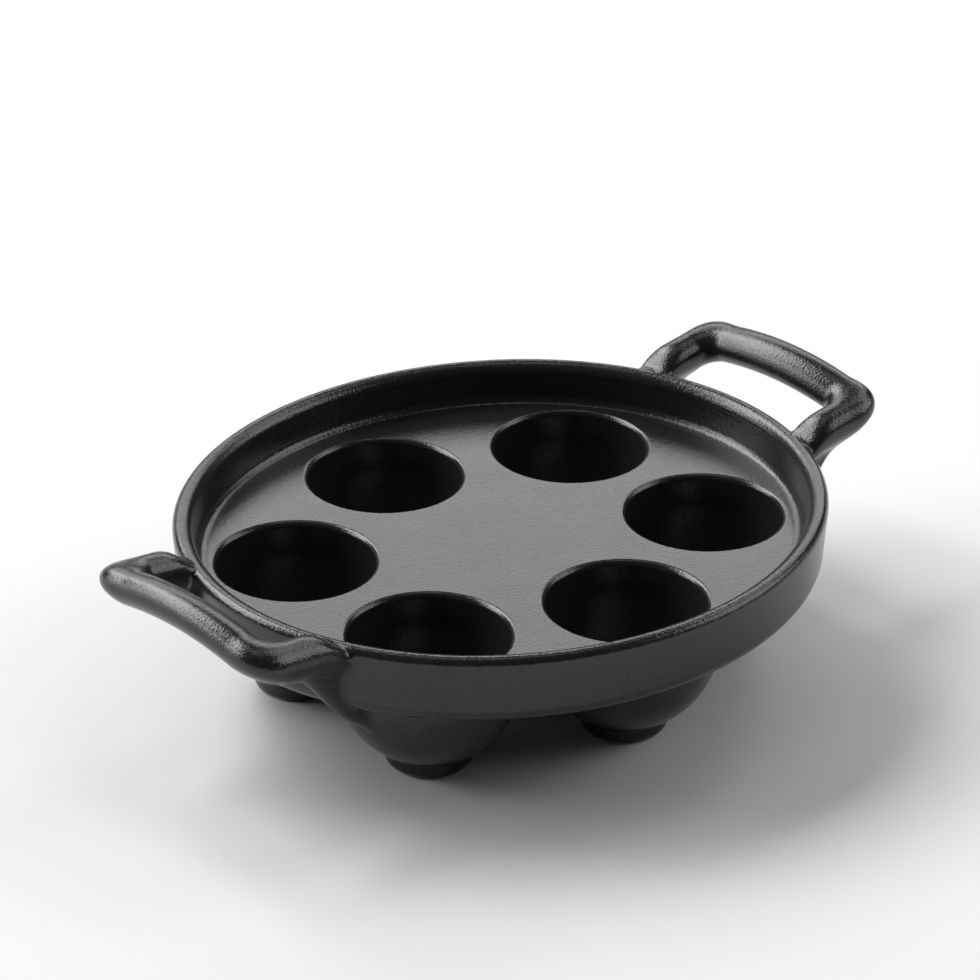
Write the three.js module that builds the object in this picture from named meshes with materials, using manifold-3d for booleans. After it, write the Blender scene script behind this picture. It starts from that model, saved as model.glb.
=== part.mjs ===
// An oval snail pan in black cast iron: six wells in a flat deck, a raised rim, two arched loop handles.
// Millimetres. +X runs through the two handles, +Z is up, and the pan stands on its feet at z = 0.
import * as THREE from 'three';
import { mergeVertices } from 'three/addons/utils/BufferGeometryUtils.js';
import Module from 'manifold-3d';

const wasm = await Module();
wasm.setup();

// Wells and their feet: the gaps are between the bowls' outsides, and the margins between a bowl and the wall
const MOUTH_RADIUS = 16.9;
const MOUTH_ROUND = 0.8;
const BOWL_THICKNESS = 3.4;
const WELL_DEPTH = 23.8;
const FLOOR_THICKNESS = 1.9;
const END_PAIR_GAP = 1.6;
const MIDDLE_WELL_GAP = 2.7;
const MIDDLE_WELL_STEP = 16.9;
const END_MARGIN = 1.1;
const MIDDLE_MARGIN = 0.9;
const FOOT_RADIUS = 9.3;
const FOOT_HEIGHT = 3.6;
const FOOT_ROUND = 1.9;

// Deck and rim: the wall stands on the deck's edge and thins upwards by its draft on both faces
const DECK_THICKNESS = 6.3;
const RIM_HEIGHT = 9.4;
const WALL_DRAFT = 0.7;
const WALL_FOOT_ROUND = 4;
const LIP_OUTER_ROUND = 1.7;
const LIP_INNER_ROUND = 2.6;
const DECK_FILLET = 2;

// Handles: the reach is from the lip to the grip's middle line, and the rises run on from one another
const ARM_Y = 23.3;
const ARM_RADIUS = 4.3;
const ARM_ROOT_DROP = 0.7;
const ARM_RISE = 2.1;
const ARCH_RISE = 3;
const HANDLE_REACH = 13.2;
const CORNER_INNER_ROUND = 2.5;
const CORNER_BULGE = 2;
const GRIP_DEEP_HALF = 4.6;
const GRIP_THIN_HALF = 3.8;
const GRIP_LEAN = THREE.MathUtils.degToRad(30);
const SHOULDER_LENGTH = 3.5;

// Webs: a plate under each arm, whose free edge runs from a well's bowl, under the wall, up to the arm
const WEB_HALF = 1.9;
const WEB_ROUND = 1.5;
const WEB_REACH = 13;
const WEB_FOOT_INSET = 6;
const WEB_FOOT_DROP = 5;
const WEB_FOOT_PULL = new THREE.Vector2(10, 7.5);
const WEB_ARM_PULL = new THREE.Vector2(7.8, 0.8);

// Clearance between pieces that are shaped against each other, and how far a cutter runs past what it cuts
const SEAT_GAP = 0.3;
const CUT_PAST = 1;

// Facet counts
const ROUND_STEPS = 32;
const RIM_STEPS = 80;
const ARC_STEPS = 4;
const BOWL_STEPS = 7;
const BAR_SIDES = 20;
const ARM_RINGS = 12;
const CORNER_RINGS = 6;
const GRIP_RINGS = 14;
const WEB_STEPS = 14;
const WEB_ROUND_STEPS = 3;
const ROOT_CROWDING = 1.3;
const MERGE_DISTANCE = 1e-4;

const IRON = { color: 0x1c1c1d, roughness: 0.45, metalness: 0.2 };
const UP = new THREE.Vector3(0, 0, 1);

// Heights above the table
const wellFloorZ = FOOT_HEIGHT + FLOOR_THICKNESS;
const deckTopZ = wellFloorZ + WELL_DEPTH;
const undersideZ = deckTopZ - DECK_THICKNESS;
const lipTopZ = deckTopZ + RIM_HEIGHT;

// Places of the wells: a pair at each end, and one between the pairs on each long side
const bowlRadius = MOUTH_RADIUS + BOWL_THICKNESS;
const endWellY = bowlRadius + END_PAIR_GAP / 2;
const middleWellY = endWellY + MIDDLE_WELL_STEP;
const endWellX = Math.sqrt((2 * bowlRadius + MIDDLE_WELL_GAP) ** 2 - MIDDLE_WELL_STEP ** 2);
const wellPlaces = {
  right_back: [endWellX, endWellY],
  right_front: [endWellX, -endWellY],
  front: [0, -middleWellY],
  left_front: [-endWellX, -endWellY],
  left_back: [-endWellX, endWellY],
  back: [0, middleWellY],
};

// The deck's oval goes round the wells. The wall's other edges are offsets from it.
const deckHalfWidth = middleWellY + bowlRadius + MIDDLE_MARGIN;
const deckHalfLength = (endWellX + bowlRadius + END_MARGIN) / Math.sqrt(1 - (endWellY / deckHalfWidth) ** 2);
const innerFootOffset = DECK_FILLET;
const innerTopOffset = innerFootOffset + WALL_DRAFT;
const lipRidgeOffset = innerTopOffset + LIP_INNER_ROUND;
const lipOffset = lipRidgeOffset + LIP_OUTER_ROUND;
const outerFootOffset = lipOffset - WALL_DRAFT;
const lipHalfLength = deckHalfLength + lipOffset;
const lipHalfWidth = deckHalfWidth + lipOffset;

// Points of an arc in a profile, from one angle to another in degrees
function arc(centreAcross, centreUp, radius, fromDegrees, toDegrees, steps) {
  return Array.from({ length: steps + 1 }, (_, step) => {
    const angle = THREE.MathUtils.degToRad(THREE.MathUtils.lerp(fromDegrees, toDegrees, step / steps));
    return new THREE.Vector2(centreAcross + radius * Math.cos(angle), centreUp + radius * Math.sin(angle));
  });
}

// A profile of (distance from the axis, height) points turned about the Z axis
function turned(profile) {
  return new THREE.LatheGeometry(profile, ROUND_STEPS).rotateX(Math.PI / 2);
}

// Volume of a closed triangle mesh, negative where its faces look inwards
function signedVolume(points, faces) {
  let sum = 0;
  for (let face = 0; face < faces.length; face += 3) {
    const [a, b, c] = [0, 1, 2].map((corner) => points[faces[face + corner]]);
    sum += a.dot(b.clone().cross(c));
  }
  return sum / 6;
}

// A closed skin over rings of points: a loop of rings joins up, and a row of rings gets flat ends
function skin(rings, isLoop) {
  const points = rings.flat();
  const sides = rings[0].length;
  const faces = [];
  const last = isLoop ? rings.length : rings.length - 1;
  for (let ring = 0; ring < last; ring += 1) {
    const here = ring * sides;
    const next = ((ring + 1) % rings.length) * sides;
    for (let side = 0; side < sides; side += 1) {
      const beside = (side + 1) % sides;
      faces.push(here + side, next + side, here + beside, here + beside, next + side, next + beside);
    }
  }
  if (!isLoop) {
    for (const [start, turn] of [[0, 1], [(rings.length - 1) * sides, -1]]) {
      const middle = points.length;
      const sum = new THREE.Vector3();
      for (const point of points.slice(start, start + sides)) {
        sum.add(point);
      }
      points.push(sum.divideScalar(sides));
      for (let side = 0; side < sides; side += 1) {
        const pair = [start + side, start + (side + 1) % sides];
        faces.push(middle, ...(turn > 0 ? pair : pair.reverse()));
      }
    }
  }
  if (signedVolume(points, faces) < 0) {
    faces.reverse();
  }
  const geometry = new THREE.BufferGeometry().setFromPoints(points);
  geometry.setIndex(faces);
  return geometry;
}

// A profile of (offset from the deck's edge, height) points carried round the oval
function carriedRound(profile) {
  const rings = Array.from({ length: RIM_STEPS }, (_, step) => {
    const angle = (2 * Math.PI * step) / RIM_STEPS;
    return profile.map((point) => new THREE.Vector3(
      (deckHalfLength + point.x) * Math.cos(angle),
      (deckHalfWidth + point.x) * Math.sin(angle),
      point.y,
    ));
  });
  return skin(rings, true);
}

function toManifold(geometry) {
  const plain = geometry.clone();
  plain.deleteAttribute('normal');
  plain.deleteAttribute('uv');
  const merged = mergeVertices(plain, MERGE_DISTANCE);
  const faces = [];
  const index = merged.index.array;
  for (let face = 0; face < index.length; face += 3) {
    const [a, b, c] = [index[face], index[face + 1], index[face + 2]];
    if (a !== b && b !== c && c !== a) {
      faces.push(a, b, c);
    }
  }
  return new wasm.Manifold(new wasm.Mesh({
    numProp: 3,
    vertProperties: new Float32Array(merged.attributes.position.array),
    triVerts: new Uint32Array(faces),
  }));
}

function toGeometry(manifold) {
  const mesh = manifold.getMesh();
  const geometry = new THREE.BufferGeometry();
  geometry.setAttribute('position', new THREE.BufferAttribute(new Float32Array(mesh.vertProperties), 3));
  geometry.setIndex(new THREE.BufferAttribute(new Uint32Array(mesh.triVerts), 1));
  return geometry;
}

const pan = new THREE.Group();

function addPiece(name, geometry, place = [0, 0, 0]) {
  const mesh = new THREE.Mesh(geometry, new THREE.MeshStandardMaterial(IRON));
  mesh.name = name;
  mesh.position.set(...place);
  pan.add(mesh);
}

// Outside of the wall, from its foot up over the lip's outer edge; grown is a clearance added all round
function wallOutside(grown) {
  const footMiddle = [outerFootOffset - WALL_FOOT_ROUND, undersideZ + WALL_FOOT_ROUND];
  const lipMiddle = [lipRidgeOffset, lipTopZ - LIP_OUTER_ROUND];
  return [
    ...arc(...footMiddle, WALL_FOOT_ROUND + grown, -90, 0, ARC_STEPS),
    ...arc(...lipMiddle, LIP_OUTER_ROUND + grown, 0, 90, ARC_STEPS),
  ];
}

// Rim wall: outside, lip, inner face and the fillet that lies on the deck's edge
function makeRimWall() {
  return carriedRound([
    new THREE.Vector2(0, undersideZ),
    ...wallOutside(0),
    ...arc(lipRidgeOffset, lipTopZ - LIP_INNER_ROUND, LIP_INNER_ROUND, 90, 180, ARC_STEPS).slice(1),
    ...arc(0, deckTopZ + DECK_FILLET, DECK_FILLET, 0, -90, ARC_STEPS),
  ]);
}

// Deck: an oval plate, with a round-edged mouth cut through it over each well
function makeDeck() {
  const outline = new THREE.Shape();
  outline.absellipse(0, 0, deckHalfLength - SEAT_GAP, deckHalfWidth - SEAT_GAP, 0, 2 * Math.PI);
  const plate = new THREE.ExtrudeGeometry(outline, {
    depth: DECK_THICKNESS,
    bevelEnabled: false,
    curveSegments: RIM_STEPS,
  }).translate(0, 0, undersideZ);
  const flare = arc(MOUTH_RADIUS + MOUTH_ROUND, deckTopZ - MOUTH_ROUND, MOUTH_ROUND, 180, 90, ARC_STEPS);
  const mouth = turned([
    new THREE.Vector2(0, undersideZ - CUT_PAST),
    new THREE.Vector2(MOUTH_RADIUS, undersideZ - CUT_PAST),
    ...flare,
    new THREE.Vector2(MOUTH_RADIUS + MOUTH_ROUND, deckTopZ + CUT_PAST),
    new THREE.Vector2(0, deckTopZ + CUT_PAST),
  ]);
  let deck = toManifold(plate);
  for (const [x, y] of Object.values(wellPlaces)) {
    deck = deck.subtract(toManifold(mouth.clone().translate(x, y, 0)));
  }
  return toGeometry(deck);
}

// Outside of a bowl, from the deck's underside down to the flat over its foot; grown is a clearance
function bowlOutside(grown) {
  const flatAngle = Math.acos(FOOT_RADIUS / bowlRadius);
  const bowlDepth = (undersideZ - FOOT_HEIGHT) / Math.sin(flatAngle);
  return arc(0, 0, 1, 0, -THREE.MathUtils.radToDeg(flatAngle), BOWL_STEPS)
    .map((point) => new THREE.Vector2(
      point.x * (bowlRadius + grown),
      undersideZ + point.y * (bowlDepth + grown),
    ));
}

// Well: a bowl that hangs under the deck, with a flat under it for the foot
function makeWell() {
  const innerDepth = undersideZ - wellFloorZ;
  const inside = arc(0, 0, MOUTH_RADIUS, -90, 0, BOWL_STEPS)
    .map((point) => new THREE.Vector2(point.x, undersideZ + (point.y * innerDepth) / MOUTH_RADIUS));
  const outside = bowlOutside(0);
  outside[BOWL_STEPS].y = FOOT_HEIGHT;
  inside[0].x = 0;
  return turned([...inside, ...outside, new THREE.Vector2(0, FOOT_HEIGHT)].reverse());
}

// Foot: a low round pad with a rounded lower edge
function makeFoot() {
  return turned([
    new THREE.Vector2(0, 0),
    ...arc(FOOT_RADIUS - FOOT_ROUND, FOOT_ROUND, FOOT_ROUND, -90, 0, ARC_STEPS),
    new THREE.Vector2(FOOT_RADIUS, FOOT_HEIGHT),
    new THREE.Vector2(0, FOOT_HEIGHT),
  ]);
}

// Handle: the bar's middle line runs out along one arm, round the corner and along the arched grip
const lipXAtArm = lipHalfLength * Math.sqrt(1 - (ARM_Y / lipHalfWidth) ** 2);
const rootX = lipXAtArm - lipOffset / 2;
const gripX = lipHalfLength + HANDLE_REACH;
const cornerRound = Math.max(ARM_RADIUS, GRIP_DEEP_HALF) + CORNER_INNER_ROUND;
const cornerStartX = gripX - cornerRound;
const cornerEndY = ARM_Y - cornerRound;
const gripEndY = cornerEndY - SEAT_GAP;
const armRootZ = lipTopZ - ARM_ROOT_DROP;
const armCornerZ = armRootZ + ARM_RISE;
const gripMiddleZ = armCornerZ + ARCH_RISE;
const gripArch = ARCH_RISE / ARM_Y ** 2;
const armSlope = ARM_RISE / (gripX - lipXAtArm);

function gripZ(y) {
  return gripMiddleZ - gripArch * y * y;
}

function gripSlope(y) {
  return 2 * gripArch * y;
}

function armZ(x) {
  return armRootZ + armSlope * (x - lipXAtArm);
}

// A station on the bar: a point of its middle line, the way the bar runs there, and its oval section
function armStation(share) {
  const x = THREE.MathUtils.lerp(rootX, cornerStartX, share ** ROOT_CROWDING);
  const fromLip = Math.max(x - lipXAtArm, 0);
  const shoulder = Math.min(fromLip / SHOULDER_LENGTH, 1);
  const roundTop = ARM_RADIUS * Math.sqrt(1 - (1 - shoulder) ** 2);
  return {
    middle: new THREE.Vector3(x, ARM_Y, armZ(x)),
    ahead: new THREE.Vector3(1, 0, armSlope),
    inner: ARM_RADIUS,
    outer: ARM_RADIUS,
    above: Math.max(roundTop, SEAT_GAP),
    below: ARM_RADIUS,
    lean: 0,
  };
}

function cornerStation(share) {
  const angle = (share * Math.PI) / 2;
  const high = THREE.MathUtils.lerp(ARM_RADIUS, GRIP_THIN_HALF, share);
  const wide = THREE.MathUtils.lerp(ARM_RADIUS, GRIP_DEEP_HALF, share);
  const slope = THREE.MathUtils.lerp(armSlope, gripSlope(cornerEndY), share);
  return {
    middle: new THREE.Vector3(
      cornerStartX + cornerRound * Math.sin(angle),
      cornerEndY + cornerRound * Math.cos(angle),
      THREE.MathUtils.lerp(armZ(cornerStartX), gripZ(cornerEndY), share),
    ),
    ahead: new THREE.Vector3(Math.cos(angle), -Math.sin(angle), slope),
    inner: wide,
    outer: wide + CORNER_BULGE * Math.sin(2 * angle) ** 2,
    above: high,
    below: high,
    lean: -GRIP_LEAN * share,
  };
}

function gripStation(share) {
  const y = THREE.MathUtils.lerp(gripEndY, -gripEndY, share);
  return {
    middle: new THREE.Vector3(gripX, y, gripZ(y)),
    ahead: new THREE.Vector3(0, -1, gripSlope(y)),
    inner: GRIP_DEEP_HALF,
    outer: GRIP_DEEP_HALF,
    above: GRIP_THIN_HALF,
    below: GRIP_THIN_HALF,
    lean: -GRIP_LEAN,
  };
}

// The ring of points round one station, square to the way the bar runs there
function barRing({ middle, ahead, inner, outer, above, below, lean }) {
  const across = new THREE.Vector3().crossVectors(ahead, UP).normalize();
  const over = new THREE.Vector3().crossVectors(across, ahead).normalize();
  return Array.from({ length: BAR_SIDES }, (_, side) => {
    const angle = (2 * Math.PI * side) / BAR_SIDES;
    const sideways = (Math.cos(angle) > 0 ? inner : outer) * Math.cos(angle);
    const upwards = (Math.sin(angle) > 0 ? above : below) * Math.sin(angle);
    return middle.clone()
      .addScaledVector(across, sideways * Math.cos(lean) - upwards * Math.sin(lean))
      .addScaledVector(over, sideways * Math.sin(lean) + upwards * Math.cos(lean));
  });
}

// Rings for evenly shared stations, starting after the ones that another row already has
function ringRow(station, steps, first) {
  return Array.from({ length: steps + 1 - first }, (_, step) => barRing(station((step + first) / steps)));
}

// Web: its free edge is one curve from its foot to the arm. Its other edges lie inside the arm, wall and bowl.
function makeWeb() {
  const foot = new THREE.Vector2(lipXAtArm - WEB_FOOT_INSET, undersideZ - WEB_FOOT_DROP);
  const endX = lipXAtArm + WEB_REACH;
  const end = new THREE.Vector2(endX, armZ(endX) - ARM_RADIUS);
  const footPull = foot.clone().add(WEB_FOOT_PULL);
  const armPull = end.clone().sub(WEB_ARM_PULL);
  const inBowlX = endWellX + bowlRadius - BOWL_THICKNESS;
  const inBowlZ = foot.y - ((foot.x - inBowlX) * WEB_FOOT_PULL.y) / WEB_FOOT_PULL.x;
  const outline = new THREE.Shape();
  outline.moveTo(inBowlX, inBowlZ);
  outline.lineTo(foot.x, foot.y);
  outline.bezierCurveTo(footPull.x, footPull.y, armPull.x, armPull.y, end.x, end.y);
  outline.lineTo(end.x, armZ(end.x));
  outline.lineTo(inBowlX, armZ(inBowlX));
  const depth = 2 * (WEB_HALF - WEB_ROUND);
  return new THREE.ExtrudeGeometry(outline, {
    depth,
    curveSegments: WEB_STEPS,
    bevelThickness: WEB_ROUND,
    bevelSize: WEB_ROUND,
    bevelOffset: -WEB_ROUND,
    bevelSegments: WEB_ROUND_STEPS,
  }).rotateX(Math.PI / 2).translate(0, ARM_Y + depth / 2, 0);
}

// Arm: a round bar whose shoulder dies into the lip, with its web. What would lie in the wall, over the deck's
// edge or in the nearest bowl is cut away.
function makeArm() {
  const bar = skin([...ringRow(armStation, ARM_RINGS, 0), ...ringRow(cornerStation, CORNER_RINGS, 1)], false);
  const wall = carriedRound([
    new THREE.Vector2(-bowlRadius, undersideZ - SEAT_GAP),
    ...wallOutside(SEAT_GAP),
    new THREE.Vector2(-bowlRadius, lipTopZ + SEAT_GAP),
  ]);
  const bowl = turned([
    new THREE.Vector2(0, FOOT_HEIGHT - SEAT_GAP),
    ...bowlOutside(SEAT_GAP).reverse(),
    new THREE.Vector2(0, undersideZ),
  ]).translate(endWellX, endWellY, 0);
  const arm = toManifold(bar).add(toManifold(makeWeb()));
  return toGeometry(arm.subtract(toManifold(wall)).subtract(toManifold(bowl)));
}

// A copy of a geometry reflected in the planes x = 0 and y = 0 where the signs are negative
function reflected(geometry, signX, signY) {
  const copy = geometry.clone().scale(signX, signY, 1);
  if (signX * signY < 0) {
    copy.index.array.reverse();
  }
  return copy;
}

addPiece('deck_plate', makeDeck());
addPiece('rim_wall', makeRimWall());
for (const [place, [x, y]] of Object.entries(wellPlaces)) {
  addPiece(`well_${place}`, makeWell(), [x, y, 0]);
  addPiece(`foot_${place}`, makeFoot(), [x, y, 0]);
}

const arm = makeArm();
const grip = skin(ringRow(gripStation, GRIP_RINGS, 0), false);
for (const [sideName, signX] of [['right', 1], ['left', -1]]) {
  addPiece(`handle_${sideName}_grip`, reflected(grip, signX, 1));
  for (const [endName, signY] of [['back', 1], ['front', -1]]) {
    addPiece(`handle_${sideName}_arm_${endName}`, reflected(arm, signX, signY));
  }
}

export default pan;
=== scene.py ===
"""An oval snail pan in satin black cast iron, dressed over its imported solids.

The real pan is one casting, so the pieces meet without seams: each piece keeps the exact slope of its surface
up to its edge, and each handle flows into the wall with a fillet. Sizes are in millimetres and the meshes in
metres. +X runs through the two handles, +Z is up, and the pan stands on its feet at z = 0.
"""

import logging
import math
from abc import ABC, abstractmethod
from dataclasses import dataclass
from enum import Enum
from typing import Any

import bpy
import numpy as np
from bpy.types import ID, Material, Mesh, Node, NodeSocket, NodeTree, Object, World
from mathutils import Matrix, Vector
from mathutils.geometry import delaunay_2d_cdt

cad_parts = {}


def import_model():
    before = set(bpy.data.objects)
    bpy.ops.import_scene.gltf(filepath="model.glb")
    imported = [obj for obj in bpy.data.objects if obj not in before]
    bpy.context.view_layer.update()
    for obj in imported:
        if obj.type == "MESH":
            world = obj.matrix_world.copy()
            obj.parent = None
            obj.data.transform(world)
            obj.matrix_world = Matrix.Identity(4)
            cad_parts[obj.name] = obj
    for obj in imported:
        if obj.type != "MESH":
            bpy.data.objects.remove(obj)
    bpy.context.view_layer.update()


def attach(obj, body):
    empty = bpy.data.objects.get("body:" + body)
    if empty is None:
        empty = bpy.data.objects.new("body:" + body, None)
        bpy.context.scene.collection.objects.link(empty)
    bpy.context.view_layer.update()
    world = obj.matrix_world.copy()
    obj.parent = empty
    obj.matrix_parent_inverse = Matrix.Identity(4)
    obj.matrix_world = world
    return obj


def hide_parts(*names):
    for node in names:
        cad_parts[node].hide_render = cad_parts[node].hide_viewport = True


LOG = logging.getLogger("snail_pan")

MM = 0.001
BODY = "root"

# Two points of a mesh closer than this are one point, in millimetres
WELD = 1e-5
# Stands in for zero where a zero would spoil a division or a direction
TINY = 1e-9
# Patches whose normals differ by more than this meet in a sharp edge
SHARP_ANGLE = math.radians(8)
# Numbers of a mixing node's colour sockets, which share their names with its other sockets
MIX_SHARE, MIX_FIRST, MIX_SECOND, MIX_RESULT = 0, 6, 7, 2

# Many numbers, one length or many, and a pair of lengths such as a place in a flat drawing
Array = np.ndarray
Lengths = Array | float
Pair = tuple[float, float]


def linear(hex_colour: str) -> tuple[float, float, float, float]:
    """Turns an sRGB hex colour into the linear colour that shaders take.

    Args:
        hex_colour: a colour such as "#1a1a1b"
    Returns:
        red, green, blue and alpha, each from 0 to 1
    """
    channels = [int(hex_colour[start:start + 2], 16) / 255 for start in (1, 3, 5)]
    # The numbers are those of the sRGB standard
    red, green, blue = (
        channel / 12.92 if channel <= 0.04045 else ((channel + 0.055) / 1.055) ** 2.4
        for channel in channels
    )
    return red, green, blue, 1.0


def add_node(
    tree: NodeTree, kind: str, settings: dict[str | int, Any], links: dict[str | int, NodeSocket],
) -> Node:
    """Adds one node to a tree.

    Args:
        tree: the tree that the node joins
        kind: Blender's name of the node's type
        settings: values by name or number; the node's own options are set first, then its inputs
        links: the sockets that feed its inputs, by name or number
    Returns:
        the new node
    """
    node = tree.nodes.new(kind)
    for key, value in settings.items():
        if isinstance(key, str) and hasattr(node, key):
            setattr(node, key, value)
        else:
            node.inputs[key].default_value = value
    for key, source in links.items():
        tree.links.new(source, node.inputs[key])
    return node


def empty_tree(owner: Material | World) -> NodeTree:
    """Clears the nodes of a material or a world.

    Args:
        owner: the material or the world
    Returns:
        its node tree, empty
    """
    owner.use_nodes = True
    owner.node_tree.nodes.clear()
    return owner.node_tree


def add_object(name: str, data: ID) -> Object:
    """Makes an object and links it to the scene.

    Args:
        name: the object's name
        data: its mesh, lamp or camera
    Returns:
        the object
    """
    made = bpy.data.objects.new(name, data)
    bpy.context.scene.collection.objects.link(made)
    return made


@dataclass(frozen=True)
class SatinIron:
    """Black cast iron with a baked satin coat: near black, softly glossy, with a fine pebbled grain."""

    name: str = "satin_black_cast_iron"
    pit_colour: str = "#19191a"
    coat_colour: str = "#2a2a2b"
    index_of_refraction: float = 1.5
    smooth_roughness: float = 0.14
    dull_roughness: float = 0.22
    # The coat's pebbles are about a third of a millimetre, and drawn a little coarser to show in a picture
    pebble_mm: float = 0.5
    pebble_height_mm: float = 0.09
    pebble_detail: float = 2.0
    # Slow swells that sand casting leaves under the coat
    swell_mm: float = 3.5
    swell_height_mm: float = 0.012
    swell_detail: float = 1.0
    # Patches where the coat baked a little duller
    patch_mm: float = 9.0
    patch_detail: float = 3.0

    @staticmethod
    def noise(tree: NodeTree, place: NodeSocket, size_mm: float, detail: float) -> NodeSocket:
        """Adds a noise pattern.

        Args:
            tree: the material's node tree
            place: the socket with the place on the object, in metres
            size_mm: the size of one lump of the pattern in millimetres
            detail: how many finer layers lie on it
        Returns:
            the socket with the pattern's height from 0 to 1
        """
        settings = {"noise_dimensions": "3D", "Scale": 1 / (size_mm * MM), "Detail": detail}
        return add_node(tree, "ShaderNodeTexNoise", settings, {"Vector": place}).outputs["Fac"]

    def material(self) -> Material:
        """Makes the finish.

        Returns:
            the material
        """
        made = bpy.data.materials.new(self.name)
        tree = empty_tree(made)
        place = add_node(tree, "ShaderNodeTexCoord", {}, {}).outputs["Object"]
        pebbles = self.noise(tree, place, self.pebble_mm, self.pebble_detail)
        swells = self.noise(tree, place, self.swell_mm, self.swell_detail)
        patches = self.noise(tree, place, self.patch_mm, self.patch_detail)
        # The pebbles lie on the swells
        normal: dict[str, NodeSocket] = {}
        for pattern, height_mm in ((swells, self.swell_height_mm), (pebbles, self.pebble_height_mm)):
            settings = {"Strength": 1.0, "Distance": height_mm * MM}
            bump = add_node(tree, "ShaderNodeBump", settings, {"Height": pattern, **normal})
            normal = {"Normal": bump.outputs["Normal"]}
        colours = {MIX_FIRST: linear(self.pit_colour), MIX_SECOND: linear(self.coat_colour)}
        mix = add_node(tree, "ShaderNodeMix", {"data_type": "RGBA", **colours}, {MIX_SHARE: pebbles})
        limits = {"To Min": self.smooth_roughness, "To Max": self.dull_roughness}
        roughness = add_node(tree, "ShaderNodeMapRange", limits, {"Value": patches})
        shader = add_node(
            tree,
            "ShaderNodeBsdfPrincipled",
            {"Metallic": 0.0, "IOR": self.index_of_refraction},
            {"Base Color": mix.outputs[MIX_RESULT], "Roughness": roughness.outputs["Result"], **normal},
        )
        add_node(tree, "ShaderNodeOutputMaterial", {}, {"Surface": shader.outputs["BSDF"]})
        return made


@dataclass(frozen=True)
class LevelCoat(SatinIron):
    """The same finish on the level deck, where the coat settled smoother than on the walls."""

    name: str = "satin_black_level_coat"
    pebble_height_mm: float = 0.055


class Stretch(ABC):
    """One smooth stretch of a profile of (across, up) points, walked with the iron on the left hand."""

    @abstractmethod
    def walk(self) -> tuple[Array, Array]:
        """Walks along the stretch.

        Returns:
            points of the stretch, and the outward normals at them
        """

    @abstractmethod
    def measure(self, across: Array, up: Array) -> Array:
        """Measures how far places are from the stretch.

        Args:
            across, up: places in the profile's drawing
        Returns:
            the distances, negative on the iron's side
        """


@dataclass(frozen=True)
class Straight(Stretch):
    """A straight stretch of a profile."""

    start: Pair
    end: Pair
    steps: int = 1

    def normal(self) -> Array:
        """Gives the outward normal, which is the same all along."""
        along = np.subtract(self.end, self.start)
        return np.array([along[1], -along[0]]) / np.hypot(*along)

    def walk(self) -> tuple[Array, Array]:
        """Walks along the straight."""
        points = np.linspace(self.start, self.end, self.steps + 1)
        return points, np.tile(self.normal(), (len(points), 1))

    def measure(self, across: Array, up: Array) -> Array:
        """Measures how far places are from the straight."""
        way = np.subtract(self.end, self.start)
        from_start = (across - self.start[0]) * way[0] + (up - self.start[1]) * way[1]
        share = np.clip(from_start / (way @ way), 0, 1)
        away = np.stack([across - self.start[0] - share * way[0], up - self.start[1] - share * way[1]])
        side = np.where(np.tensordot(self.normal(), away, 1) < 0, -1.0, 1.0)
        return side * np.hypot(*away)


@dataclass(frozen=True)
class Bend(Stretch):
    """A stretch of a profile along part of an oval, from one angle to another in degrees."""

    middle: Pair
    half_across: float
    half_up: float
    begin: float
    finish: float
    steps: int
    hollow: bool = False

    def walk(self) -> tuple[Array, Array]:
        """Walks along the bend."""
        angles = np.radians(np.linspace(self.begin, self.finish, self.steps + 1))
        ring = np.stack([np.cos(angles), np.sin(angles)], 1)
        halves = np.array([self.half_across, self.half_up])
        normals = ring / halves
        normals /= np.linalg.norm(normals, axis=1, keepdims=True)
        return self.middle + ring * halves, -normals if self.hollow else normals

    def measure(self, across: Array, up: Array) -> Array:
        """Measures how far places are from the bend."""
        right, high = across - self.middle[0], up - self.middle[1]
        half_turn = (self.finish - self.begin) / 2
        turned_by = np.degrees(np.arctan2(high, right)) - (self.begin + half_turn)
        turned_by = (turned_by + 180) % 360 - 180
        on_arc = oval_distance(right, high, self.half_across, self.half_up)
        first, *_, last = self.walk()[0]
        off_ends = np.minimum(*(np.hypot(across - end[0], up - end[1]) for end in (first, last)))
        side = np.where(on_arc < 0, -1.0, 1.0)
        near = np.where(np.abs(turned_by) <= abs(half_turn), on_arc, side * off_ends)
        return -near if self.hollow else near


def round_bend(
    middle: Pair, radius: float, begin: float, finish: float, steps: int, hollow: bool = False,
) -> Bend:
    """Gives a bend along part of a circle."""
    return Bend(middle, radius, radius, begin, finish, steps, hollow)


def nearest(stretches: list[Stretch], across: Array, up: Array) -> Array:
    """Measures how far places are from the nearest stretch of a profile.

    Args:
        stretches: the profile
        across, up: places in its drawing
    Returns:
        the distances, negative on the iron's side
    """
    near = np.full(across.shape, np.inf)
    for stretch in stretches:
        distance = stretch.measure(across, up)
        near = np.where(np.abs(distance) < np.abs(near), distance, near)
    return near


def circle(steps: int) -> Array:
    """Gives points evenly round a circle with a radius of 1."""
    angles = np.linspace(0, 2 * np.pi, steps, endpoint=False)
    return np.stack([np.cos(angles), np.sin(angles)], 1)


def oval_distance(
    across: Array, up: Array, half_across: Lengths, half_up: Lengths,
) -> Array:
    """Measures how far places are from an oval, exactly on it and nearly so close to it.

    Args:
        across: distance from the oval's middle along its first half size
        up: distance along the second
        half_across: the first half size
        half_up: the second half size
    Returns:
        the distances, negative inside
    """
    level = np.hypot(across / half_across, up / half_up)
    slope = np.hypot(across / half_across**2, up / half_up**2) / np.maximum(level, TINY)
    least_slope = 1 / np.maximum(half_across, half_up)
    return (level - 1) / np.maximum(slope, least_slope)


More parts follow.
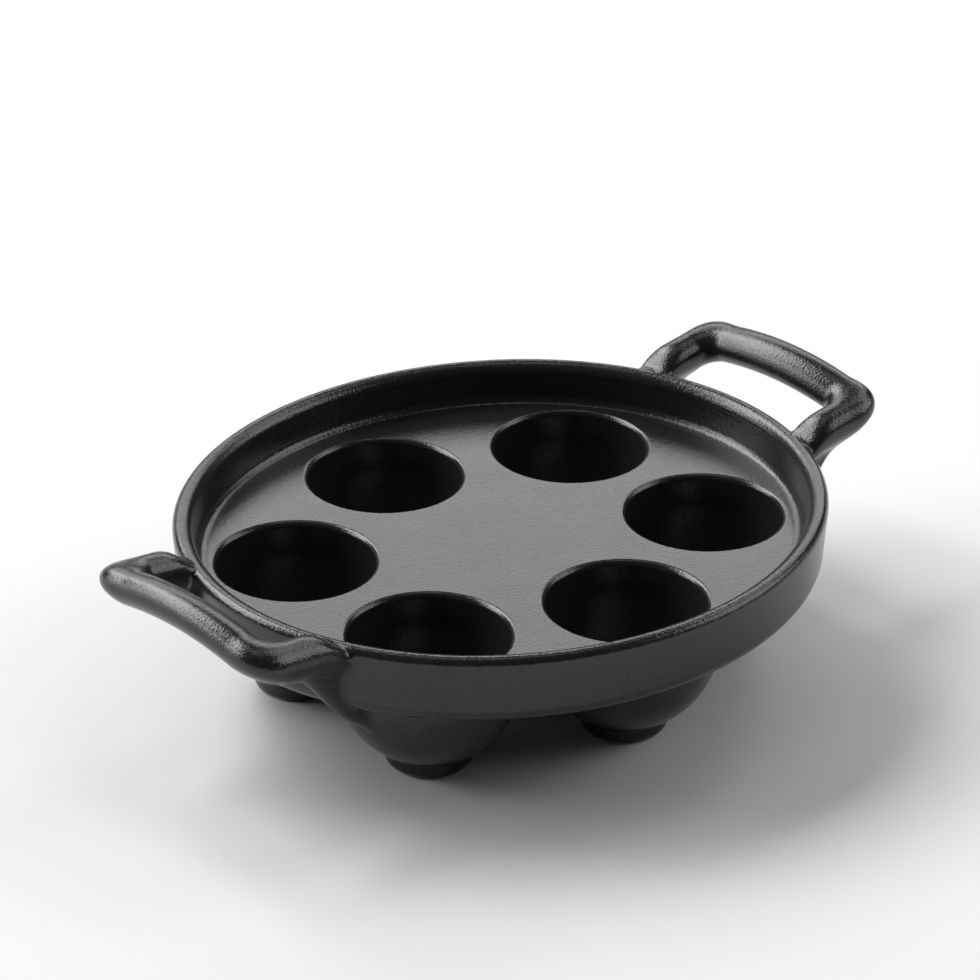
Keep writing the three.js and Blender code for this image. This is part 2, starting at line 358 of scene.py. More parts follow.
def melt(first: Array, second: Array, reach: float) -> Array:
    """Joins two distance fields with a fillet where they meet.

    Args:
        first: distances to one form
        second: distances to the other
        reach: how close the two must be to flow together, in millimetres
    Returns:
        distances to the joined form
    """
    # A cubic of the share lets the fillet start and end without a crease
    share = np.maximum(reach - np.abs(first - second), 0) / reach
    return np.minimum(first, second) - share**3 * reach / 6


class Skin:
    """A closed mesh gathered from patches, each with the exact normals of its surface."""

    def __init__(self) -> None:
        """Starts with no patch."""
        self.points: list[Array] = []
        self.normals: list[Array] = []
        self.faces: list[Array] = []
        self.count = 0

    def add(self, points: Array, normals: Array, faces: Array) -> None:
        """Adds a patch and turns it to look the way its normals do.

        Args:
            points: places in millimetres
            normals: the surface's normal at each
            faces: rows of point numbers, all walked the same way round and with the same count of corners
        """
        corners = points[faces]
        facing = np.cross(corners[:, 2] - corners[:, 0], corners[:, -1] - corners[:, 1])
        if np.einsum("ij,ij->", facing, normals[faces].sum(1)) < 0:
            faces = faces[:, ::-1]
        self.points.append(points)
        self.normals.append(normals)
        self.faces.append(faces + self.count)
        self.count += len(points)

    def sweep(
        self, profile: list[Stretch], steps: int, halves: Pair = (0.0, 0.0), middle: Pair = (0.0, 0.0),
    ) -> None:
        """Carries a profile round an oval, or turns it about an upright axis.

        Args:
            profile: stretches of (offset from the oval, height)
            steps: count of steps round
            halves: half length and half width of the oval, or nothing to turn the profile about the axis
            middle: the axis's place
        """
        cosines, sines = circle(steps).T[..., None]
        for stretch in profile:
            marks, slopes = stretch.walk()
            # A point on the axis keeps a trace of a radius, so that its normal isn't lost
            long, wide = (np.maximum(half + marks[:, 0], TINY) for half in halves)
            heights = np.broadcast_to(marks[:, 1], (steps, len(marks)))
            points = np.stack([middle[0] + long * cosines, middle[1] + wide * sines, heights], -1)
            rise = slopes[:, 1] * (long * sines**2 + wide * cosines**2)
            normals = np.stack([wide * cosines * slopes[:, 0], long * sines * slopes[:, 0], rise], -1)
            numbers = np.arange(steps * len(marks)).reshape(steps, -1)
            after = np.roll(numbers, -1, axis=0)
            quads = np.stack([numbers[:, :-1], after[:, :-1], after[:, 1:], numbers[:, 1:]], -1)
            self.add(points.reshape(-1, 3), normals.reshape(-1, 3), quads.reshape(-1, 4))

    @staticmethod
    def sharp_edges(mesh: Mesh, normals: Array) -> Array:
        """Finds the edges where the surface has a corner.

        Args:
            mesh: a closed mesh
            normals: the surface's normal at each corner of each face
        Returns:
            True for each sharp edge
        """
        edges, spots = np.empty(len(mesh.loops), int), np.empty(len(mesh.loops), int)
        mesh.loops.foreach_get("edge_index", edges)
        mesh.loops.foreach_get("vertex_index", spots)
        following = np.concatenate([
            np.roll(np.arange(face.loop_start, face.loop_start + face.loop_total), -1)
            for face in mesh.polygons
        ])
        corners = np.concatenate([np.arange(len(edges)), following])
        ends = np.tile(edges, 2) * len(mesh.vertices) + spots[corners]
        pairs = corners[np.argsort(ends, kind="stable")].reshape(-1, 2)
        turned = np.einsum("ij,ij->i", normals[pairs[:, 0]], normals[pairs[:, 1]]) < math.cos(SHARP_ANGLE)
        return turned.reshape(-1, 2).any(1)

    def build(self, name: str, finish: Material) -> Object:
        """Welds the patches and makes the object.

        Args:
            name: the piece's name
            finish: its material
        Returns:
            the object, linked to the scene and riding on the pan
        """
        points = np.concatenate(self.points)
        normals = np.concatenate(self.normals)
        normals /= np.linalg.norm(normals, axis=1, keepdims=True)
        keys = np.round(points / WELD).astype(np.int64)
        _, first, welded = np.unique(keys, axis=0, return_index=True, return_inverse=True)
        welded = welded.reshape(-1)
        faces: list[list[int]] = []
        loop_normals: list[list[float]] = []
        for patch in self.faces:
            joined = welded[patch]
            whole = (joined != np.roll(joined, 1, axis=1)).all(1)
            faces.extend(joined[whole].tolist())
            loop_normals.extend(normals[patch[whole]].reshape(-1, 3).tolist())
            for corners in patch[~whole]:
                kept = [c for i, c in enumerate(corners) if welded[c] != welded[corners[i - 1]]]
                if len(kept) > 2:
                    faces.append(welded[kept].tolist())
                    loop_normals.extend(normals[kept].tolist())
        mesh = bpy.data.meshes.new(name)
        mesh.from_pydata((points[first] * MM).tolist(), [], faces)
        mesh.polygons.foreach_set("use_smooth", [True] * len(faces))
        mesh.edges.foreach_set("use_edge_sharp", self.sharp_edges(mesh, np.array(loop_normals)).tolist())
        mesh.materials.append(finish)
        mesh.normals_split_custom_set(loop_normals)
        mesh.update()
        piece = add_object(name, mesh)
        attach(piece, BODY)
        return piece


@dataclass(frozen=True)
class PanSizes:
    """The sizes that more than one piece of the pan takes, and the places that follow from them."""

    mouth_radius: float = 16.9
    bowl_thickness: float = 3.4
    # The deck's top is 0.4 mm higher than the solids', as the mouths' edges in the photograph ask for
    well_depth: float = 24.2
    floor_thickness: float = 1.9
    end_pair_gap: float = 1.6
    middle_well_gap: float = 2.7
    middle_well_step: float = 16.9
    end_margin: float = 1.1
    middle_margin: float = 0.9
    foot_radius: float = 9.3
    foot_height: float = 3.6
    deck_thickness: float = 6.7
    rim_height: float = 9.0
    wall_draft: float = 0.7
    wall_foot_round: float = 4.0
    lip_outer_round: float = 1.7
    lip_inner_round: float = 2.6
    deck_fillet: float = 2.0
    # The rim's piece carries a narrow ring of the flat deck, so that its fillet ends smoothly
    deck_ring: float = 0.4
    round_steps: int = 128
    oval_steps: int = 320
    arc_steps: int = 14
    wall_steps: int = 4

    @property
    def floor_z(self) -> float:
        """Height of a well's inside floor."""
        return self.foot_height + self.floor_thickness

    @property
    def deck_z(self) -> float:
        """Height of the deck's top."""
        return self.floor_z + self.well_depth

    @property
    def underside_z(self) -> float:
        """Height of the deck's underside."""
        return self.deck_z - self.deck_thickness

    @property
    def lip_z(self) -> float:
        """Height of the lip's ridge."""
        return self.deck_z + self.rim_height

    @property
    def bowl_radius(self) -> float:
        """Outside radius of a bowl at the deck's underside."""
        return self.mouth_radius + self.bowl_thickness

    @property
    def bowl_depth(self) -> float:
        """Upright half size of the oval that a bowl's outside follows."""
        flat_angle = math.acos(self.foot_radius / self.bowl_radius)
        return (self.underside_z - self.foot_height) / math.sin(flat_angle)

    @property
    def well_places(self) -> dict[str, Pair]:
        """Middles of the wells: a pair at each end, and one between the pairs on each long side."""
        end_y = self.bowl_radius + self.end_pair_gap / 2
        middle_y = end_y + self.middle_well_step
        end_x = math.sqrt((2 * self.bowl_radius + self.middle_well_gap) ** 2 - self.middle_well_step**2)
        return {
            "right_back": (end_x, end_y),
            "right_front": (end_x, -end_y),
            "front": (0.0, -middle_y),
            "left_front": (-end_x, -end_y),
            "left_back": (-end_x, end_y),
            "back": (0.0, middle_y),
        }

    @property
    def deck_halves(self) -> Pair:
        """Half length and half width of the oval deck."""
        end_x, end_y = self.well_places["right_back"]
        half_width = self.well_places["back"][1] + self.bowl_radius + self.middle_margin
        reach = end_x + self.bowl_radius + self.end_margin
        return reach / math.sqrt(1 - (end_y / half_width) ** 2), half_width

    @property
    def lip_ridge(self) -> float:
        """Offset of the lip's ridge from the deck's edge."""
        return self.deck_fillet + self.wall_draft + self.lip_inner_round

    @property
    def lip_edge(self) -> float:
        """Offset of the lip's outer edge from the deck's edge."""
        return self.lip_ridge + self.lip_outer_round

    @property
    def wall_foot(self) -> float:
        """Offset where the flat underside ends and the round of the wall's foot starts."""
        return self.lip_edge - self.wall_draft - self.wall_foot_round

    @property
    def deck_joint(self) -> tuple[Pair, Pair]:
        """Top and foot of the line where the rim's piece meets the deck's."""
        return (-self.deck_ring, self.deck_z), (-self.deck_ring, self.underside_z)

    def wall_outside(self) -> list[Stretch]:
        """Draws the wall's profile of (offset from the deck's edge, height).

        Returns:
            the stretches from the round of the wall's foot, over the lip, to the fillet on the deck
        """
        foot_middle = (self.wall_foot, self.underside_z + self.wall_foot_round)
        lip_middle = (self.lip_ridge, self.lip_z - self.lip_outer_round)
        inner_middle = (self.lip_ridge, self.lip_z - self.lip_inner_round)
        fillet_z = self.deck_z + self.deck_fillet
        side_foot = (self.lip_edge - self.wall_draft, foot_middle[1])
        side_top = (self.lip_edge, lip_middle[1])
        return [
            round_bend(foot_middle, self.wall_foot_round, -90, 0, self.arc_steps),
            Straight(side_foot, side_top, self.wall_steps),
            round_bend(lip_middle, self.lip_outer_round, 0, 90, self.arc_steps),
            round_bend(inner_middle, self.lip_inner_round, 90, 180, self.arc_steps),
            Straight((self.lip_ridge - self.lip_inner_round, inner_middle[1]), (self.deck_fillet, fillet_z)),
            round_bend((0, fillet_z), self.deck_fillet, 0, -90, self.arc_steps, hollow=True),
        ]


@dataclass(frozen=True)
class Rim:
    """The oval wall with its rounded lip, and the fillet that runs out on the deck."""

    pan: PanSizes

    def build(self, finish: Material) -> Object:
        """Makes the wall.

        Args:
            finish: the pan's material
        Returns:
            the piece
        """
        pan = self.pan
        inner_top, inner_foot = pan.deck_joint
        skin = Skin()
        skin.sweep([
            Straight(inner_foot, (pan.wall_foot, pan.underside_z)),
            *pan.wall_outside(),
            Straight((0, pan.deck_z), inner_top),
            Straight(inner_top, inner_foot),
        ], pan.oval_steps, pan.deck_halves)
        piece = skin.build("rim_wall_cast", finish)
        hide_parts("rim_wall")
        return piece


@dataclass(frozen=True)
class Deck:
    """The flat floor of the tray, with a round-edged mouth over each well."""

    pan: PanSizes
    mouth_round: float = 1.3

    def flat(self, skin: Skin, mouth_radius: float, height: float, upwards: float) -> None:
        """Adds the flat oval with six round holes.

        Args:
            skin: the mesh that takes the patch
            mouth_radius: radius of the holes
            height: height of the flat
            upwards: 1 for the top, -1 for the underside
        """
        pan = self.pan
        loops = [(np.array(pan.deck_halves) - pan.deck_ring) * circle(pan.oval_steps)]
        for middle in pan.well_places.values():
            loops.append(middle + mouth_radius * circle(pan.round_steps))
        edges: list[tuple[int, int]] = []
        for loop in loops:
            start = len(edges)
            edges.extend((start + i, start + (i + 1) % len(loop)) for i in range(len(loop)))
        marks = np.concatenate(loops)
        _, _, triangles, sources, *_ = delaunay_2d_cdt([Vector(mark) for mark in marks], edges, [], 0, WELD)
        points = np.insert(marks, 2, height, axis=1)
        faces = np.array([source[0] for source in sources])[np.array(triangles)]
        middles = points[faces].mean(1)
        solid = np.ones(len(faces), bool)
        # Every triangle in a hole has its middle nearer the axis than the sides of the hole's outline are
        side_reach = mouth_radius * math.cos(math.pi / pan.round_steps)
        for x, y in pan.well_places.values():
            solid &= np.hypot(middles[:, 0] - x, middles[:, 1] - y) > side_reach
        skin.add(points, np.tile([0.0, 0.0, upwards], (len(points), 1)), faces[solid])

    def build(self, finish: Material) -> Object:
        """Makes the deck.

        Args:
            finish: the pan's material
        Returns:
            the piece
        """
        pan = self.pan
        skin = Skin()
        mouth_middle = (pan.mouth_radius + self.mouth_round, pan.deck_z - self.mouth_round)
        self.flat(skin, mouth_middle[0], pan.deck_z, 1.0)
        self.flat(skin, pan.mouth_radius, pan.underside_z, -1.0)
        mouth = [
            round_bend(mouth_middle, self.mouth_round, 90, 180, pan.arc_steps),
            Straight((pan.mouth_radius, mouth_middle[1]), (pan.mouth_radius, pan.underside_z)),
        ]
        for middle in pan.well_places.values():
            skin.sweep(mouth, pan.round_steps, middle=middle)
        inner_top, inner_foot = pan.deck_joint
        skin.sweep([Straight(inner_foot, inner_top)], pan.oval_steps, pan.deck_halves)
        piece = skin.build("deck_plate_cast", finish)
        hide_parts("deck_plate")
        return piece


@dataclass(frozen=True)
class Well:
    """One bowl under the deck, and the low round foot under it."""

    pan: PanSizes
    name: str
    bowl_fillet: float = 1.5
    foot_fillet: float = 0.9
    foot_round: float = 1.9
    bowl_steps: int = 36
    fillet_steps: int = 8

    def foot_join(self) -> tuple[Pair, Bend]:
        """Works out the fillet between the foot's side and the bowl.

        Returns:
            the point where the bowl ends, and the fillet from the foot's side up to it
        """
        pan = self.pan
        angle = math.acos(pan.foot_radius / pan.bowl_radius)
        climb = math.atan2(pan.bowl_depth * math.cos(angle), pan.bowl_radius * math.sin(angle))
        reach = self.foot_fillet * math.tan((math.pi / 2 - climb) / 2)
        end_radius = pan.foot_radius + reach * math.cos(climb)
        end_angle = math.acos(end_radius / pan.bowl_radius)
        middle = (pan.foot_radius + self.foot_fillet, pan.foot_height - reach)
        end_turn = 90 + math.degrees(climb)
        fillet = round_bend(middle, self.foot_fillet, 180, end_turn, self.fillet_steps, hollow=True)
        return (end_radius, pan.underside_z - pan.bowl_depth * math.sin(end_angle)), fillet

    def bowl_profile(self) -> list[Stretch]:
        """Draws the bowl.

        Returns:
            stretches of (distance from the axis, height) from the foot up the outside, and down the inside
        """
        pan = self.pan
        bowl_end, _ = self.foot_join()
        end_angle = math.degrees(math.acos(bowl_end[0] / pan.bowl_radius))
        start_angle = math.degrees(math.asin(self.bowl_fillet / pan.bowl_depth))
        bowl_start = pan.bowl_radius * math.cos(math.radians(start_angle))
        inside_depth = pan.underside_z - pan.floor_z
        middle = (0.0, pan.underside_z)
        fillet_middle = (bowl_start + self.bowl_fillet, pan.underside_z - self.bowl_fillet)
        return [
            Straight((0.0, bowl_end[1]), bowl_end),
            Bend(middle, pan.bowl_radius, pan.bowl_depth, -end_angle, -start_angle, self.bowl_steps),
            round_bend(fillet_middle, self.bowl_fillet, 180, 90, pan.arc_steps, hollow=True),
            Straight((fillet_middle[0], pan.underside_z), (pan.mouth_radius, pan.underside_z)),
            Bend(middle, pan.mouth_radius, inside_depth, 0, -90, self.bowl_steps, hollow=True),
        ]

    def foot_profile(self) -> list[Stretch]:
        """Draws the foot.

        Returns:
            stretches of (distance from the axis, height) from the flat underside up to the bowl
        """
        pan = self.pan
        bowl_end, fillet = self.foot_join()
        flat_radius = pan.foot_radius - self.foot_round
        return [
            Straight((0.0, 0.0), (flat_radius, 0.0)),
            round_bend((flat_radius, self.foot_round), self.foot_round, -90, 0, pan.arc_steps),
            Straight((pan.foot_radius, self.foot_round), (pan.foot_radius, fillet.middle[1])),
            fillet,
            Straight(tuple(fillet.walk()[0][-1]), bowl_end),
            Straight(bowl_end, (0.0, bowl_end[1])),
        ]

    def build(self, finish: Material) -> list[Object]:
        """Makes the bowl and the foot.

        Args:
            finish: the pan's material
        Returns:
            the two pieces
        """
        pieces = []
        for part, profile in (("well", self.bowl_profile()), ("foot", self.foot_profile())):
            skin = Skin()
            skin.sweep(profile, self.pan.round_steps, middle=self.pan.well_places[self.name])
            piece = skin.build(f"{part}_{self.name}_cast", finish)
            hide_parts(f"{part}_{self.name}")
            pieces.append(piece)
        return pieces


class Side(Enum):
    """The end of the pan that a handle is on, as the sign of its X."""

    RIGHT = 1
    LEFT = -1


@dataclass(frozen=True)
class Handle:
    """An arched loop handle: a bar with round corners, two webs, and fillets that join it to the wall."""

    pan: PanSizes
    arm_y: float = 23.3
    arm_radius: float = 4.3
    arm_root_drop: float = 0.7
    arm_rise: float = 2.1
    arch_rise: float = 3.0
    handle_reach: float = 13.2
    corner_inner_round: float = 2.5
    corner_bulge: float = 2.0
    grip_deep_half: float = 4.6
    grip_thin_half: float = 3.8
    grip_lean: float = math.radians(30)
    # The arm sags a little where it comes to the wall, and its top comes down on the lip in a round shoulder
    root_sag: float = 0.9
    sag_length: float = 6.0
    shoulder_inset: float = 0.3
    shoulder_slant: float = math.radians(45)
    shoulder_melt: float = 3.0
    root_inset: float = 2.5
    web_half: float = 1.9
    web_reach: float = 13.0
    web_foot_inset: float = 6.0
    web_foot_drop: float = 5.0
    web_foot_pull: Pair = (10.0, 7.5)
    web_arm_pull: Pair = (7.8, 0.8)
    web_steps: int = 32
    # How far apart two forms still flow together, and how far the handle's mesh reaches into the wall
    web_melt: float = 3.0
    wall_melt: float = 2.0
    bowl_melt: float = 2.5
    sunk_reach: float = 5.5
    sunk_length: float = 11.0
    # How deep the web goes into the bowl's iron
    web_inset: float = 1.5
    # The wall inside the handle's own mesh lies this much below the rim's, so that only the fillet shows,
    # and dips further towards the mesh's hidden cut edges
    sunk_depth: float = 0.02
    sunk_margin: float = 1.5
    sunk_slope: float = 0.2
    mesh_step: float = 0.45
    slope_step: float = 0.05
    settle_rounds: int = 5

    @property
    def lip_x(self) -> float:
        """X of the lip's outer edge where the arm meets it."""
        half_length, half_width = (half + self.pan.lip_edge for half in self.pan.deck_halves)
        return half_length * math.sqrt(1 - (self.arm_y / half_width) ** 2)

    @property
    def grip_x(self) -> float:
        """X of the grip's middle line."""
        return self.pan.deck_halves[0] + self.pan.lip_edge + self.handle_reach

    def arm_z(self, x: Lengths) -> Lengths:
        """Height of the arm's middle line, without the sag at its root."""
        climb = self.arm_rise / (self.grip_x - self.lip_x)
        return self.pan.lip_z - self.arm_root_drop + climb * (x - self.lip_x)

    def grip_z(self, y: Lengths) -> Lengths:
        """Height of the arched grip's middle line."""
        peak = self.pan.lip_z - self.arm_root_drop + self.arm_rise + self.arch_rise
        return peak - self.arch_rise * (y / self.arm_y) ** 2

    @staticmethod
    def section(
        outwards: Array, upwards: Array,
        outer: Lengths, inner: Lengths, high: Lengths, lean: Lengths,
    ) -> Array:
        """Measures the distance to the bar's oval section, whose outer side leans up.

        Args:
            outwards: distance from the middle line away from the finger gap
            upwards: distance above the middle line
            outer: half width on the outer side
            inner: half width on the side of the finger gap
            high: half height
            lean: angle by which the outer side is turned up
        Returns:
            the distances, negative inside
        """
        deep = outwards * np.cos(lean) + upwards * np.sin(lean)
        thin = upwards * np.cos(lean) - outwards * np.sin(lean)
        return oval_distance(deep, thin, np.where(deep > 0, outer, inner), high)

    def arm(self, x: Array, y: Array, z: Array) -> Array:
        """Measures the distance to an arm that runs straight out from the wall.

        Args:
            x, y, z: places
        Returns:
            the distances, negative inside
        """
        outside = x - self.lip_x
        sag = self.root_sag * np.maximum(1 - outside / self.sag_length, 0) ** 2
        bar = np.hypot(y - self.arm_y, z - self.arm_z(x) + sag) - self.arm_radius
        above_lip = z - self.pan.lip_z
        slant = above_lip * math.cos(self.shoulder_slant)
        slant = slant - (outside + self.shoulder_inset) * math.sin(self.shoulder_slant)
        # What the bar and the slant have in common, with the edge between them rounded over
        shaved = -melt(-bar, -slant, self.shoulder_melt)
        return np.maximum(shaved, -(outside + self.root_inset))

    def bar(self, x: Array, y: Array, z: Array) -> Array:
        """Measures the distance to the arms, corners and grip together.

        Args:
            x, y, z: places, with y taken on the back half, because both halves are the same
        Returns:
            the distances, negative inside
        """
        # The middle line turns round the corner's middle, between the arm's end and the grip's
        corner_round = max(self.arm_radius, self.grip_deep_half) + self.corner_inner_round
        corner_x, corner_y = self.grip_x - corner_round, self.arm_y - corner_round
        past_arm, past_grip = x - corner_x, y - corner_y
        turn = np.arctan2(np.maximum(past_arm, 0), np.maximum(past_grip, TINY))
        share = turn / (math.pi / 2)
        wide = self.arm_radius + (self.grip_deep_half - self.arm_radius) * share
        high = self.arm_radius + (self.grip_thin_half - self.arm_radius) * share
        bulge = self.corner_bulge * np.sin(2 * turn) ** 2
        start_z, end_z = self.arm_z(corner_x), self.grip_z(corner_y)
        corner = self.section(
            np.hypot(past_arm, past_grip) - corner_round,
            z - (start_z + (end_z - start_z) * share),
            wide + bulge, wide, high, self.grip_lean * share,
        )
        grip = self.section(
            x - self.grip_x,
            z - self.grip_z(y),
            self.grip_deep_half, self.grip_deep_half, self.grip_thin_half, self.grip_lean,
        )
        arm = np.where(past_arm <= 0, self.arm(x, y, z), np.inf)
        grip = np.where(past_grip <= 0, grip, np.inf)
        return np.where((past_arm > 0) & (past_grip > 0), corner, np.minimum(arm, grip))

    def web_edge(self) -> Array:
        """Works out the free edge of a web.

        Returns:
            (x, z) points from inside the bowl, under the wall and up to the arm's underside
        """
        foot = np.array([self.lip_x - self.web_foot_inset, self.pan.underside_z - self.web_foot_drop])
        end_x = self.lip_x + self.web_reach
        end = np.array([end_x, self.arm_z(end_x) - self.arm_radius])
        foot_pull, arm_pull = foot + self.web_foot_pull, end - self.web_arm_pull
        share = np.linspace(0, 1, self.web_steps + 1)[:, None]
        back = 1 - share
        curve = back**3 * foot + 3 * back**2 * share * foot_pull
        curve = curve + 3 * back * share**2 * arm_pull + share**3 * end
        # The edge runs on at both ends, into the iron of the bowl and of the arm
        return np.concatenate([[foot - 2 * np.array(self.web_foot_pull)], curve, [end + self.web_arm_pull]])

    def web(self, x: Array, y: Array, z: Array) -> Array:
        """Measures the distance to a web, whose free edge is fully round.

        Args:
            x, y, z: places, with y taken on the back half
        Returns:
            the distances, negative inside
        """
        edge = self.web_edge()
        past_edge = nearest([Straight(tuple(a), tuple(b)) for a, b in zip(edge[:-1], edge[1:])], x, z)
        aside = np.abs(y - self.arm_y)
        plate = np.hypot(np.maximum(past_edge + self.web_half, 0), aside) - self.web_half
        past_end = x - (self.lip_x + self.web_reach)
        plate = np.maximum(np.maximum(plate, past_end), z - self.arm_z(x))
        behind_wall = self.lip_x - self.root_inset - x
        above_underside = z - (self.pan.underside_z + self.web_inset)
        return np.maximum(plate, np.minimum(behind_wall, above_underside))

    def rim_offset(self, x: Array, y: Array) -> Array:
        """Works out how far places are outside the deck's oval edge, as the wall's profile counts it.

        Args:
            x, y: places
        Returns:
            the offsets, negative over the deck
        """
        half_length, half_width = self.pan.deck_halves
        offset = (np.hypot(x / half_length, y / half_width) - 1) * half_width
        for _ in range(self.settle_rounds):
            long, wide = half_length + offset, half_width + offset
            level = (x / long) ** 2 + (y / wide) ** 2 - 1
            slope = -2 * (x**2 / long**3 + y**2 / wide**3)
            offset = offset - level / slope
        return offset

    def wall(self, offset: Array, z: Array) -> Array:
        """Measures how far places are from the wall, by their offset from the deck's edge and height."""
        pan = self.pan
        return nearest([
            Straight((-self.sunk_length, pan.underside_z), (pan.wall_foot, pan.underside_z)),
            *pan.wall_outside(),
            Straight((0.0, pan.deck_z), (-self.sunk_length, pan.deck_z)),
        ], offset, z)

    def distance(self, places: Array) -> Array:
        """Measures the distance to the whole handle with its fillets.

        Args:
            places: rows of x, y, z
        Returns:
            the distances, negative inside
        """
        pan = self.pan
        x, y, z = places[..., 0], np.abs(places[..., 1]), places[..., 2]
        # The end well's bowl, which the foot of the web runs on to
        well_x, well_y = pan.well_places["right_back"]
        from_axis = np.hypot(x - well_x, y - well_y)
        bowl = oval_distance(from_axis, z - pan.underside_z, pan.bowl_radius, pan.bowl_depth)
        inside_bowl = -(bowl + self.web_inset)
        web = np.maximum(self.web(x, y, z), inside_bowl)
        handle = melt(self.bar(x, y, z), web, self.web_melt)
        offset = self.rim_offset(x, y)
        # The handle's mesh stops in the pan's iron short of the well's inside and of the lip's inner side
        too_deep = np.maximum.reduce([
            pan.mouth_radius + self.web_inset - from_axis,
            self.lip_x - self.sunk_length - x,
            handle - self.sunk_reach,
            np.minimum(pan.lip_ridge - offset, z - (pan.underside_z + self.web_inset)),
        ])
        sunk = self.sunk_depth + self.sunk_slope * np.maximum(too_deep + self.sunk_margin, 0)
        rooted = melt(handle, self.wall(offset, z) + sunk, self.wall_melt)
        shell = np.maximum(np.maximum(bowl + sunk, inside_bowl), z - pan.underside_z + sunk)
        rooted = melt(rooted, shell, self.bowl_melt)
        return np.maximum(rooted, too_deep)

    def slope(self, places: Array) -> Array:
        """Works out which way the distance grows fastest at places."""
        step = self.slope_step
        return np.stack([
            self.distance(places + step * axis) - self.distance(places - step * axis)
            for axis in np.eye(3)
        ], -1) / (2 * step)

    @staticmethod
    def fill_pinches(inside: Array) -> None:
        """Fills places where the iron would touch itself only along an edge, so that the net stays clean.

        Args:
            inside: True for each mark of the grid that is in the iron, changed in place
        """
        pinched = True
        while pinched:
            pinched = False
            for axis in range(3):
                layers = np.moveaxis(inside, axis, 0)
                near, far = layers[:, :-1, :-1], layers[:, 1:, 1:]
                one, other = layers[:, :-1, 1:], layers[:, 1:, :-1]
                for iron, gap in (((near, far), (one, other)), ((one, other), (near, far))):
                    touching = iron[0] & iron[1] & ~gap[0] & ~gap[1]
                    gap[0][touching] = True
                    pinched = pinched or bool(touching.any())

    def mesh(self) -> tuple[Array, Array, Array]:
        """Wraps a net of squares round the handle and settles its points on the surface.

        Returns:
            points, their normals, and squares of point numbers
        """
        margin = self.arm_radius + self.sunk_reach + 2 * self.mesh_step
        bowl_x, _ = self.pan.well_places["right_back"]
        low = np.array([bowl_x + self.pan.foot_radius, -self.arm_y - margin, 0.0])
        high = np.array([self.grip_x + margin, self.arm_y + margin, self.grip_z(0.0) + margin])
        counts = np.ceil((high - low) / self.mesh_step).astype(int) + 1
        marks = np.indices(counts).transpose(1, 2, 3, 0)
        inside = self.distance(low + marks * self.mesh_step) < 0
        self.fill_pinches(inside)
        corners = sum(
            inside[i:counts[0] - 1 + i, j:counts[1] - 1 + j, k:counts[2] - 1 + k].astype(int)
            for i in (0, 1) for j in (0, 1) for k in (0, 1)
        )
        # The surface crosses the cells that have some of their eight corners in the iron
        cells = (corners > 0) & (corners < 8)
        number = np.full(cells.shape, -1)
        number[cells] = np.arange(cells.sum())
        middles = low + (np.argwhere(cells) + 0.5) * self.mesh_step
        squares = []
        for axis in range(3):
            one, other = (axis + 1) % 3, (axis + 2) % 3
            before = np.take(inside, range(counts[axis] - 1), axis)
            after = np.take(inside, range(1, counts[axis]), axis)
            crossed = before != after
            shifts = np.zeros((4, 3), int)
            shifts[1:3, one] = -1
            shifts[2:4, other] = -1
            around = np.argwhere(crossed)[:, None, :] + shifts
            square = number[around[..., 0], around[..., 1], around[..., 2]]
            squares.append(np.where(before[crossed][:, None], square, square[:, ::-1]))
        points = middles
        for _ in range(self.settle_rounds):
            grows = self.slope(points)
            steep = np.maximum(np.einsum("ij,ij->i", grows, grows), TINY)
            move = -(self.distance(points) / steep)[:, None] * grows
            points = middles + np.clip(points + move - middles, -self.mesh_step, self.mesh_step)
        return points, self.slope(points), np.concatenate(squares)

    def build(self, finish: Material) -> list[Object]:
        """Makes the handle on the right end, and its reflection on the left.

        Args:
            finish: the pan's material
        Returns:
            the two pieces
        """
        points, normals, squares = self.mesh()
        pieces = []
        for side in Side:
            flip = np.array([side.value, 1, 1])
            side_name = side.name.lower()
            skin = Skin()
            skin.add(points * flip, normals * flip, squares)
            piece = skin.build(f"handle_{side_name}_cast", finish)
            members = ("grip", "arm_front", "arm_back")
            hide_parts(*(f"handle_{side_name}_{member}" for member in members))
            pieces.append(piece)
        return pieces


@dataclass(frozen=True)
class SoftBox:
    """One soft panel of studio light, placed as seen from the camera."""

    name: str
    # Turned from straight behind the pan, towards the right of the picture, in degrees
    bearing: float
    elevation: float
    # Sizes and distance in metres
    width: float
    height: float
    # Brightness of the panel's face, where 1 is white
    glow: float
    distance: float = 3.0


